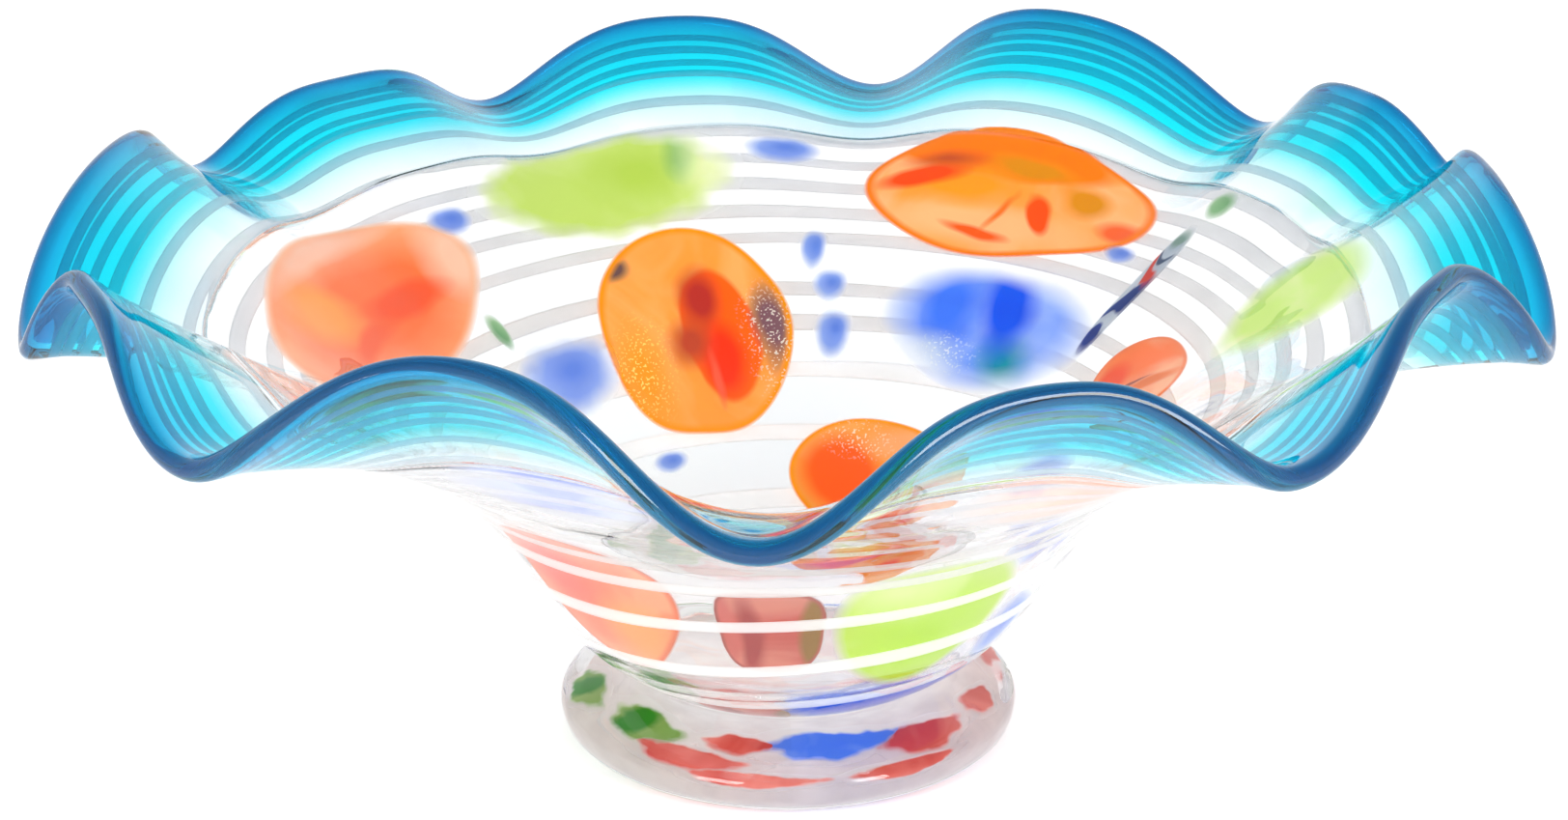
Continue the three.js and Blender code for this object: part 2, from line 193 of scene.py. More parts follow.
def add_mesh(name, rings, closes, marks, faced=None):
    """A smooth closed piece through rings of points, where a ring of one point is a tip.

    Seen from outside, a ring's points run to the right and the rings run upwards. Where closes is
    true, the last ring joins the first. The marks are two numbers for each point, which the
    materials read as the piece's UV map. The table faced says which of the piece's other materials
    covers the faces that start at some of the rings.
    """
    counts = [len(ring) for ring in rings]
    starts = np.concatenate([[0], np.cumsum(counts)])
    faces = []
    last = len(rings) if closes else len(rings) - 1
    for i in range(last):
        n = (i + 1) % len(rings)
        steps = max(counts[i], counts[n])
        j = np.arange(steps)
        k = (j + 1) % steps
        if counts[i] == 1:
            faces += list(zip(np.full(steps, starts[i]), starts[n] + j, starts[n] + k))
        elif counts[n] == 1:
            faces += list(zip(starts[i] + j, np.full(steps, starts[n]), starts[i] + k))
        else:
            faces += list(zip(starts[i] + j, starts[n] + j, starts[n] + k, starts[i] + k))
    mesh = bpy.data.meshes.new(name)
    mesh.from_pydata(np.concatenate(rings).tolist(), [], [tuple(map(int, f)) for f in faces])
    mesh.shade_smooth()
    faced = faced or {}
    bands = np.concatenate([np.full(max(counts[i], counts[(i + 1) % len(rings)]), faced.get(i, 0))
                            for i in range(last)])
    mesh.polygons.foreach_set("material_index", bands.astype(np.int32))
    flat = np.concatenate(marks)
    corner = np.empty(len(mesh.loops), dtype=np.int32)
    mesh.loops.foreach_get("vertex_index", corner)
    layer = mesh.uv_layers.new(name="UVMap")
    layer.data.foreach_set("uv", flat[corner].astype(np.float32).ravel())
    piece = bpy.data.objects.new(name, mesh)
    bpy.context.scene.collection.objects.link(piece)
    return piece


def finish_piece(piece, materials, slot, node):
    """Gives a piece its materials, hangs it under the root, and hides the CAD node that it stands for.
    """
    for material in materials:
        piece.data.materials.append(material)
    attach(piece, "root")
    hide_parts(node)


def wall_rings(section):
    """Rings and marks of the wall through a section: rows of distance along and distance off."""
    angle = np.arange(AROUND) * 360 / AROUND
    rings = [on_wall(along, angle, off) for along, off in section]
    marks = [np.stack([angle / 360, np.full(AROUND, along / 1000)], axis=-1) for along, _ in section]
    return rings, marks


def make_body(materials):
    """The clear wall, from the floor to the seam, with fused glass on the foot and at the seam."""
    even = np.arange(BODY_START, LIP_START - 2, BODY_STEP)
    stations = np.concatenate([even, [LIP_START - SEAM / 2]])
    inside = [(a, -half_wall(a)) for a in stations]
    outside = [(a, half_wall(a)) for a in stations[::-1]]
    rings, marks = wall_rings(inside + outside)
    tips = [on_wall(0, 0, off)[None, :] for off in (-FLOOR_WALL / 2, FLOOR_WALL / 2)]
    rings = [tips[0], *rings, tips[1]]
    marks = [np.zeros((1, 2)), *marks, np.zeros((1, 2))]
    seated = [len(rings) - 2 - i for i, a in enumerate(stations) if a < NECK_RADIUS]
    piece = add_mesh("clear_bowl", rings, False, marks, dict.fromkeys([len(stations), *seated], 1))
    finish_piece(piece, materials, "clear_glass", "bowl_body")


def make_lip(materials):
    """The aqua wrap, which swells into a round bead."""
    bead = LIP_BEAD / 2
    even = np.arange(LIP_START + LIP_STEP, LIP_END, LIP_STEP)
    stations = np.concatenate([[LIP_START + SEAM / 2], even])
    swell = [half_wall(a) + (bead - WALL / 2) * smoothstep(LIP_END - BEAD_SWELL, LIP_END, a)
             for a in stations]
    inside = [(a, -h) for a, h in zip(stations, swell)]
    turns = np.linspace(-math.pi / 2, math.pi / 2, BEAD_RINGS)
    rounded = [(LIP_END + bead * math.cos(t), bead * math.sin(t)) for t in turns]
    outside = [(a, h) for a, h in zip(stations[::-1], swell[::-1])]
    rings, marks = wall_rings(inside + rounded + outside)
    piece = add_mesh("aqua_lip", rings, True, marks, {len(rings) - 1: 1})
    finish_piece(piece, materials, "aqua_glass", "lip_wrap")


def make_trail(material):
    """One flattened thread, sunk just under the outside of the wall.

    The hand that laid it on wavered, so it wanders up and down and its width varies. The waves in
    hand and swell are a size in millimetres or a share, and a rate per turn of the bowl.
    """
    turns = np.arange(len(TRAIL_TURNS))
    wound = np.arange(0, (len(TRAIL_TURNS) - 1) * AROUND + 1)
    angle = wound * 360 / AROUND + 90
    middle = np.interp(wound / AROUND, turns, TRAIL_TURNS)
    lean = 1 - smoothstep(RUFFLE_START, TRAIL_SWAY_END, middle)
    round_angle = np.radians(angle)
    hand = 0.5 * np.sin(round_angle * 2.3) + 0.35 * np.sin(round_angle * 5.1 + 1)
    along = middle + TRAIL_SWAY * lean * np.cos(round_angle) + hand
    swell = 1 + 0.1 * np.sin(round_angle * 1.7) + 0.06 * np.sin(round_angle * 7.3)
    half_width = np.interp(along, [60, 190, LIP_END], [2.9, 2.3, 1.15]) * swell
    turn = np.arange(TRAIL_SIDES) * 2 * math.pi / TRAIL_SIDES
    rings, marks = [], []
    for a, g, w in zip(along, angle, half_width):
        off = half_wall(a) - TRAIL_DEPTH - TRAIL_THICKNESS / 2 * (1 - np.sin(turn))
        rings.append(on_wall(a - w * np.cos(turn), g, off))
        marks.append(np.stack([np.cos(turn) * 0.5 + 0.5, np.full(TRAIL_SIDES, a / 1000)], axis=-1))
    tips = [ring.mean(axis=0)[None, :] for ring in (rings[0], rings[-1])]
    rings = [tips[0], *rings, tips[1]]
    marks = [marks[0][:1], *marks, marks[-1][:1]]
    piece = add_mesh("white_thread", rings, False, marks)
    finish_piece(piece, [material], "white_glass", "white_trail")


def footprint(node):
    """Where a CAD patch lies on the wall: its middle and half size, along and round, in mm."""
    points = np.array([v.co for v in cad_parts[node].data.vertices]) / MM
    centre = (points.min(axis=0) + points.max(axis=0)) / 2
    middle_angle = math.degrees(math.atan2(centre[1], centre[0]))
    angle = np.degrees(np.arctan2(points[:, 1], points[:, 0])) - middle_angle
    angle = np.mod(angle + 180, 360) - 180
    column = int(round(middle_angle * AROUND / 360)) % AROUND
    flat = np.stack([np.hypot(points[:, 0], points[:, 1]), points[:, 2]], axis=-1)
    line = np.stack([np.hypot(*MIDDLE[:, column, :2].T), MIDDLE[:, column, 2]], axis=-1)
    gaps = np.linalg.norm(flat[:, None, :] - line[None, :, :], axis=-1)
    along = gaps.argmin(axis=1) * SHEET_STEP
    along_middle = (along.min() + along.max()) / 2
    radius = np.interp(along_middle, np.arange(len(line)) * SHEET_STEP, line[:, 0])
    half_round = math.radians((angle.max() - angle.min()) / 2) * radius
    return {
        "along": along_middle,
        "angle": middle_angle + (angle.max() + angle.min()) / 2,
        "half": (half_round, (along.max() - along.min()) / 2),
        "radius": radius,
    }


def make_lens(node, material, slot, look, at):
    """A lens of coloured glass. The function at gives its points.

    It takes shares of the lens's half width to the right, of its half height up, and of its half
    thickness towards the outside.
    """
    turn = np.linspace(0, 2 * math.pi, LENS_SIDES, endpoint=False)
    waver = sum(size * np.cos(count * turn - math.radians(phase)) for count, size, phase in look.waver)
    right, up = [np.sign(side) * abs(side) ** look.squareness * (1 + waver) * spread
                 for side, spread in zip((np.cos(turn), np.sin(turn)), look.spread)]
    shares = np.sin(np.linspace(0, math.pi / 2, LENS_RINGS))[1:]
    sides = [(share, -1) for share in shares] + [(share, 1) for share in shares[-2::-1]]
    rings = [at(share * right, share * up, side * (1 - share**4) ** 0.5) for share, side in sides]
    marks = [0.5 + 0.5 * share * np.stack([np.cos(turn), np.sin(turn)], axis=-1) for share, _ in sides]
    tips = [at(np.zeros(1), np.zeros(1), side) for side in (-1, 1)]
    centre_mark = np.full((1, 2), 0.5)
    piece = add_mesh(node + "_glass", [tips[0], *rings, tips[1]], False,
                     [centre_mark, *marks, centre_mark])
    finish_piece(piece, [material], slot, node)


def make_patch(node, material, slot, look):
    """A patch inside the wall, where the CAD patch lies on it."""
    place = footprint(node)

    def at(right, up, out):
        angle = place["angle"] - np.degrees(place["half"][0] * right / place["radius"])
        return on_wall(place["along"] + place["half"][1] * up, angle, PATCH_OFF + PATCH_HALF * out)

    make_lens(node, material, slot, look, at)


# ---------------------------------------------------------------- the foot

def foot_outline():
    """The outside of the foot as radius and height: the flat base, the edge and the shoulder."""
    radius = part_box("foot")[1].x / MM
    base_radius = radius - EDGE_ROUND
    neck = on_wall(NECK_RADIUS, 0, half_wall(NECK_RADIUS) + NECK_GAP) / MM
    t = np.linspace(0, 1, EDGE_RINGS)[:, None]
    edge = (1 - t) ** 2 * (base_radius, 0) + 2 * t * (1 - t) * (radius, 0) + t**2 * (radius, EDGE_HEIGHT)
    t = np.linspace(0, 1, SHOULDER_RINGS)[1:, None]
    shoulder = ((1 - t) ** 3 * (radius, EDGE_HEIGHT) + 3 * t * (1 - t) ** 2 * (radius, SHOULDER_HEIGHT)
                + 3 * t**2 * (1 - t) * (SHOULDER_RADIUS, SHOULDER_HEIGHT) + t**3 * neck[[0, 2]])
    flat = np.stack([np.linspace(BASE_START, base_radius, BASE_RINGS, endpoint=False),
                     np.zeros(BASE_RINGS)], axis=-1)
    return flat, edge, shoulder


def make_foot(materials):
    """The foot, turned from its outline, with its top dished to carry the bowl."""
    alongs = np.linspace(NECK_RADIUS, SEAT_END, SEAT_RINGS)[1:]
    seat = on_wall(alongs, 0.0, half_wall(alongs) + SEAM) / MM
    outline = np.concatenate([*foot_outline(), seat[:, [0, 2]]])
    turn = np.arange(FOOT_SIDES) * 2 * math.pi / FOOT_SIDES
    rings = [np.stack([r * np.cos(turn), r * np.sin(turn), np.full(FOOT_SIDES, z)], axis=-1) * MM
             for r, z in outline]
    marks = [np.stack([turn / (2 * math.pi), np.full(FOOT_SIDES, i / len(outline))], axis=-1)
             for i in range(len(outline))]
    top_tip = on_wall(0, 0, FLOOR_WALL / 2 + SEAM)[None]
    rings = [top_tip, *rings[::-1], np.zeros((1, 3))]
    marks = [np.zeros((1, 2)), *marks[::-1], np.zeros((1, 2))]
    faced = dict.fromkeys(range(len(seat) + 1), 1)
    faced.update(dict.fromkeys(range(len(outline) - BASE_RINGS, len(outline) + 1), 2))
    piece = add_mesh("clear_foot", rings, False, marks, faced)
    finish_piece(piece, materials, "clear_glass", "foot")


def make_streak(node, material, slot, look):
    """A streak just under the shoulder of the foot, where the CAD streak lies on it."""
    points = np.array([v.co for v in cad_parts[node].data.vertices]) / MM
    low, high = points.min(axis=0), points.max(axis=0)
    middle_angle = math.degrees(math.atan2(low[1] + high[1], low[0] + high[0]))
    angle = np.degrees(np.arctan2(points[:, 1], points[:, 0])) - middle_angle
    angle = np.mod(angle + 180, 360) - 180
    edge, shoulder = foot_outline()[1:]
    line = np.concatenate([edge[-1:], shoulder])
    climbed = np.concatenate([[0], np.cumsum(np.linalg.norm(np.diff(line, axis=0), axis=1))])
    flat = np.stack([np.hypot(points[:, 0], points[:, 1]), points[:, 2]], axis=-1)
    nearest = np.linalg.norm(flat[:, None] - line[None], axis=-1).argmin(axis=1)
    ups = climbed[nearest]
    middle_up, half_up = (ups.max() + ups.min()) / 2, (ups.max() - ups.min()) / 2
    middle_angle += (angle.max() + angle.min()) / 2
    half_angle = (angle.max() - angle.min()) / 2
    slope = np.gradient(line, axis=0)
    normal = np.stack([slope[:, 1], -slope[:, 0]], axis=-1)
    normal /= np.linalg.norm(normal, axis=-1, keepdims=True)

    def at(right, up, out):
        here = middle_up + half_up * up
        off = STREAK_OFF + STREAK_HALF * out
        r, z = [np.interp(here, climbed, line[:, i]) + off * np.interp(here, climbed, normal[:, i])
                for i in (0, 1)]
        turn = np.radians(middle_angle - half_angle * right)
        return np.stack([r * np.cos(turn), r * np.sin(turn), z], axis=-1) * MM

    make_lens(node, material, slot, look, at)


# ---------------------------------------------------------------- materials

def add_ramp(tree, source, stops):
    """A colour ramp through stops of a position and a colour, from the lowest position up."""
    node = tree.nodes.new("ShaderNodeValToRGB")
    elements = node.color_ramp.elements
    elements[0].position, elements[1].position = stops[0][0], stops[-1][0]
    for position, _ in stops[1:-1]:
        elements.new(position)
    for element, (_, colour) in zip(elements, stops):
        element.color = (*colour, 1)
    tree.links.new(source, node.inputs["Fac"])
    return node.outputs["Color"]


# The sockets of a Mix node that mixes colours: its share, its two colours and its result
MIX_SOCKETS = (0, 6, 7)
MIX_RESULT = 2


class Shader:
    """A material with one Principled shader, and short ways to add pattern nodes to it."""

    def __init__(self, name, **sockets):
        self.material = bpy.data.materials.new(name)
        self.material.use_nodes = True
        self.tree = self.material.node_tree
        self.bsdf = self.tree.nodes["Principled BSDF"]
        for socket, value in sockets.items():
            self.bsdf.inputs[socket.replace("_", " ")].default_value = value
        self.place = self.tree.nodes.new("ShaderNodeTexCoord")

    def link(self, source, target):
        self.tree.links.new(source, target)

    def noise(self, scale, detail=3.0, distortion=0.0, stretch=(1, 1, 1), shift=(0, 0, 0)):
        mapping = self.tree.nodes.new("ShaderNodeMapping")
        mapping.inputs["Scale"].default_value = stretch
        mapping.inputs["Location"].default_value = shift
        self.link(self.place.outputs["Object"], mapping.inputs["Vector"])
        node = self.tree.nodes.new("ShaderNodeTexNoise")
        node.inputs["Scale"].default_value = scale
        node.inputs["Detail"].default_value = detail
        node.inputs["Distortion"].default_value = distortion
        self.link(mapping.outputs["Vector"], node.inputs["Vector"])
        return node.outputs["Fac"]

    def ramp(self, source, stops):
        return add_ramp(self.tree, source, stops)

    def mix(self, share, first, second, kind="MIX"):
        """Two colours mixed by a share. The share is a number or a socket, a colour is three
        numbers or a socket.
        """
        node = self.tree.nodes.new("ShaderNodeMix")
        node.data_type = "RGBA"
        node.blend_type = kind
        sockets = [node.inputs[i] for i in MIX_SOCKETS]
        for value, socket in zip((share, first, second), sockets):
            if isinstance(value, (int, float)):
                socket.default_value = value
            elif isinstance(value, tuple):
                socket.default_value = (*value, 1)
            else:
                self.link(value, socket)
        return node.outputs[MIX_RESULT]

    def along(self):
        """The second mark: metres along the wall, or on the foot the share of its outline's points."""
        node = self.tree.nodes.new("ShaderNodeSeparateXYZ")
        self.link(self.place.outputs["UV"], node.inputs[0])
        return node.outputs["Y"]

    def maths(self, kind, *values):
        """One vector sum. Each value is a number triple or a socket."""
        node = self.tree.nodes.new("ShaderNodeVectorMath")
        node.operation = kind
        for value, socket in zip(values, node.inputs):
            if isinstance(value, tuple):
                socket.default_value = value
            else:
                self.link(value, socket)
        return node.outputs["Value" if kind == "LENGTH" else "Vector"]

    def folds(self, size, amount):
        """The patch's own map, from -1 to 1 across it, pulled about like stirred glass."""
        noise = self.tree.nodes.new("ShaderNodeTexNoise")
        noise.inputs["Scale"].default_value = size
        noise.inputs["Detail"].default_value = 2
        self.link(self.place.outputs["Object"], noise.inputs["Vector"])
        middle = 0.5 + amount / 4
        centred = self.maths("SUBTRACT", self.place.outputs["UV"], (middle, middle, 0))
        pulled = self.maths("MULTIPLY_ADD", noise.outputs["Color"], (amount / 2, amount / 2, 0), centred)
        return self.maths("MULTIPLY", pulled, (2, 2, 0))

    def spot(self, folds, centre, half, turn=0, soft=0.25):
        """1 inside an ellipse of a patch's map and 0 outside it."""
        mapping = self.tree.nodes.new("ShaderNodeMapping")
        mapping.vector_type = "TEXTURE"
        mapping.inputs["Location"].default_value = (*centre, 0)
        mapping.inputs["Rotation"].default_value = (0, 0, math.radians(turn))
        mapping.inputs["Scale"].default_value = (2 * half[0], 2 * half[1], 1)
        self.link(folds, mapping.inputs["Vector"])
        away = self.maths("LENGTH", mapping.outputs["Vector"])
        return self.ramp(away, [(0.5 * (1 - soft), (1, 1, 1)), (0.5 * (1 + soft), (0, 0, 0))])

    def colour(self, source):
        self.link(source, self.bsdf.inputs["Base Color"])

    def bump(self, source, strength, distance):
        node = self.tree.nodes.new("ShaderNodeBump")
        node.inputs["Strength"].default_value = strength
        node.inputs["Distance"].default_value = distance
        self.link(source, node.inputs["Height"])
        self.link(node.outputs["Normal"], self.bsdf.inputs["Normal"])


def fused_glass():
    """Where two pieces melt into one: light goes straight on."""
    shader = Shader("fused_glass", Transmission_Weight=1.0, Roughness=0.0, IOR=1.0)
    shader.colour(shader.ramp(shader.noise(5), [(0.2, (1, 1, 1)), (0.8, (0.995, 1, 1))]))
    return shader.material


def clear_glass(name="clear_glass", ripple=0.35):
    """Clear soda glass with the faint ripple and tint of hand work."""
    shader = Shader(name, Transmission_Weight=1.0, Roughness=0.0, IOR=1.5)
    tint = shader.noise(14, detail=2)
    shader.colour(shader.ramp(tint, [(0.3, (0.98, 0.98, 0.985)), (0.7, (0.945, 0.95, 0.965))]))
    shader.bump(shader.noise(40, detail=1.5, stretch=(1, 1, 0.2)), ripple, 0.0018)
    return shader.material


def ground_glass():
    """The frosted underside of the foot, which shines with painted light for the light of the table
    coming through.
    """
    shader = Shader("ground_glass", Transmission_Weight=0.2, Roughness=0.6, Emission_Strength=0.3)
    cloudy = shader.ramp(shader.noise(90, detail=4),
                         [(0.35, (0.8, 0.77, 0.77)), (0.65, (0.93, 0.91, 0.9))])
    # Painted shade: the base darkens and turns pinker towards its outer edge, for the dark outline at
    # the foot's edge.
    pinker_edge_shade = shader.ramp(shader.along(), [(0.05, (1, 1, 1)), (0.13, (0.82, 0.74, 0.72))])
    colour = shader.mix(1.0, cloudy, pinker_edge_shade, "MULTIPLY")
    shader.colour(colour)
    # Painted light: the colour is emitted too, so the base shines as if lit through by the table.
    shader.link(colour, shader.bsdf.inputs["Emission Color"])
    return shader.material


def aqua_glass():
    """Aqua glass that deepens from the seam to the bead, with painted shade in the navy of the bead."""
    shader = Shader("aqua_glass", Transmission_Weight=1.0, Roughness=0.0, IOR=1.5)
    # The aqua deepens towards the lip as the glass's own colour; the navy stops on the bead are darker
    # still, painted shade for the dark lines of the round bead.
    aqua_with_bead_shade = shader.ramp(shader.along(), [
        (0.204, (0.95, 0.99, 1.0)), (0.213, (0.72, 0.96, 0.98)), (0.218, (0.45, 0.92, 0.96)),
        (0.2225, (0.12, 0.86, 0.94)), (0.2255, (0.0, 0.8, 0.93)), (0.240, (0.0, 0.67, 0.88)),
        (0.2445, (0.0, 0.5, 0.78)), (0.2475, (0.0, 0.32, 0.62)), (0.249, (0.0, 0.16, 0.45)),
        (0.2505, (0.0, 0.03, 0.2)),
    ])
    patchy = shader.ramp(shader.noise(14, detail=3), [(0.45, (1, 1, 1)), (0.7, (0.75, 0.9, 1))])
    green = shader.ramp(shader.noise(16, shift=(3, 1, 2)), [(0.62, (1, 1, 1)), (0.72, (0.6, 1, 0.75))])
    shader.colour(shader.mix(1.0, shader.mix(1.0, aqua_with_bead_shade, patchy, "MULTIPLY"), green, "MULTIPLY"))
    shader.bump(shader.noise(30, detail=1.5), 0.2, 0.0016)
    return shader.material


def white_glass():
    """Opal white glass, a little uneven, with painted shade and painted light in its colour."""
    shader = Shader("white_glass", Transmission_Weight=0.5, Roughness=0.35, IOR=1.0,
                    Emission_Strength=0.24)
    streak = shader.ramp(shader.noise(60, detail=4, stretch=(1, 1, 4)),
                         [(0.3, (0.92, 0.92, 0.92)), (0.7, (1, 1, 1))])
    # Painted shade: the thread greys up the wall, and turns darker and bluer still under the aqua wrap,
    # for the aqua in front of it and as painted shade.
    shade_and_aqua_tint = shader.ramp(shader.along(), [
        (0.108, (0.92, 0.92, 0.91)), (0.13, (0.78, 0.76, 0.74)), (0.205, (0.72, 0.73, 0.75)),
        (0.218, (0.55, 0.66, 0.72)), (0.245, (0.42, 0.48, 0.6)),
    ])
    # Painted light: the thread emits this colour, so it shines by itself, standing for the light that
    # reaches it through the glass.
    shader.link(shade_and_aqua_tint, shader.bsdf.inputs["Emission Color"])
    shader.colour(shader.mix(1.0, shade_and_aqua_tint, streak, "MULTIPLY"))
    return shader.material


GLASS_DEPTH = 1.12  # how many times light crosses the coloured glass before it is seen
RIM_START = 0.925  # the share of a lens where its rim's own colour starts


def rgb(*levels):
    """The colour of glass that shows three screen levels, from 0 to 255, in daylight."""
    return tuple(((level / 255 + 0.055) / 1.055) ** (2.4 / GLASS_DEPTH) for level in levels)


@dataclass
class Look:
    """One coloured lens: its colours, its outline, and how it fades out at its edge.

    Each spot is a colour, a centre and a half size on the lens's map from -1 to 1, a turn in
    degrees and a softness. Each patch of flecks is a colour, a centre and a half size. Each wave of
    the outline, in waver, is a count, a size and a phase in degrees. The outline is round where
    squareness is 1, squarer below it and more pointed above it, and spread enlarges it across and
    up. The fade is the share of the lens where its colour starts to fade and where it ends, ragged
    is how far that edge breaks up, and grain how finely. The opacity and painted_glow are of the
    unfaded glass. painted_glow is painted light: the glass shines by itself, as if lit through
    from behind.
    """
    body: tuple
    pale: tuple
    rim: tuple
    spots: tuple = ()
    flecks: tuple = ()
    waver: tuple = ((2, 0.03, 20), (3, 0.03, 100), (5, 0.012, 200))
    squareness: float = 1.0
    spread: tuple = (1.0, 1.0)
    ragged: float = 0.0
    grain: float = 45
    opacity: float = 0.85
    fade: tuple = (0.97, 1.0)
    painted_glow: float = 0.24


def lens_glass(name, look):
    """Stirred coloured glass, which shines with painted light as if lit from behind and turns clear
    where it fades out.
    """
    shader = Shader(name, Roughness=0.3, IOR=1.0, Emission_Strength=look.painted_glow)
    folds = shader.folds(32, 0.22)
    swirl = shader.noise(22, detail=3, distortion=1.2)
    colour = shader.ramp(swirl, [(0.4, look.pale), (0.58, look.body)])
    for spot_colour, centre, half, turn, soft in look.spots:
        colour = shader.mix(shader.spot(folds, centre, half, turn, soft), colour, spot_colour)
    within_rim = shader.spot(shader.folds(60, 0.03), (0, 0), (RIM_START, RIM_START), soft=0.03)
    colour = shader.mix(within_rim, look.rim, colour)
    for fleck_colour, centre, half in look.flecks:
        grains = shader.ramp(shader.noise(1300, detail=0), [(0.64, (0, 0, 0)), (0.67, (1, 1, 1))])
        where = shader.spot(folds, centre, half, soft=0.6)
        colour = shader.mix(shader.mix(1.0, grains, where, "MULTIPLY"), colour, fleck_colour)
    start, end = look.fade
    middle, reach = (start + end) / 2, (end - start) / (end + start)
    edge = shader.folds(look.grain, look.ragged + 0.3 * (end - start))
    solid = shader.spot(edge, (0, 0), (middle, middle), soft=reach)
    shader.colour(shader.mix(solid, (1, 1, 1), colour))
    clear = shader.mix(solid, (1, 1, 1), (1 - look.opacity,) * 3)
    shader.link(clear, shader.bsdf.inputs["Transmission Weight"])
    # Painted light: the unfaded colour is emitted at painted_glow strength, standing for the light that
    # comes through the glass from behind.
    shader.link(shader.mix(solid, (0, 0, 0), colour), shader.bsdf.inputs["Emission Color"])
    return shader.material


# ---------------------------------------------------------------- the bowl

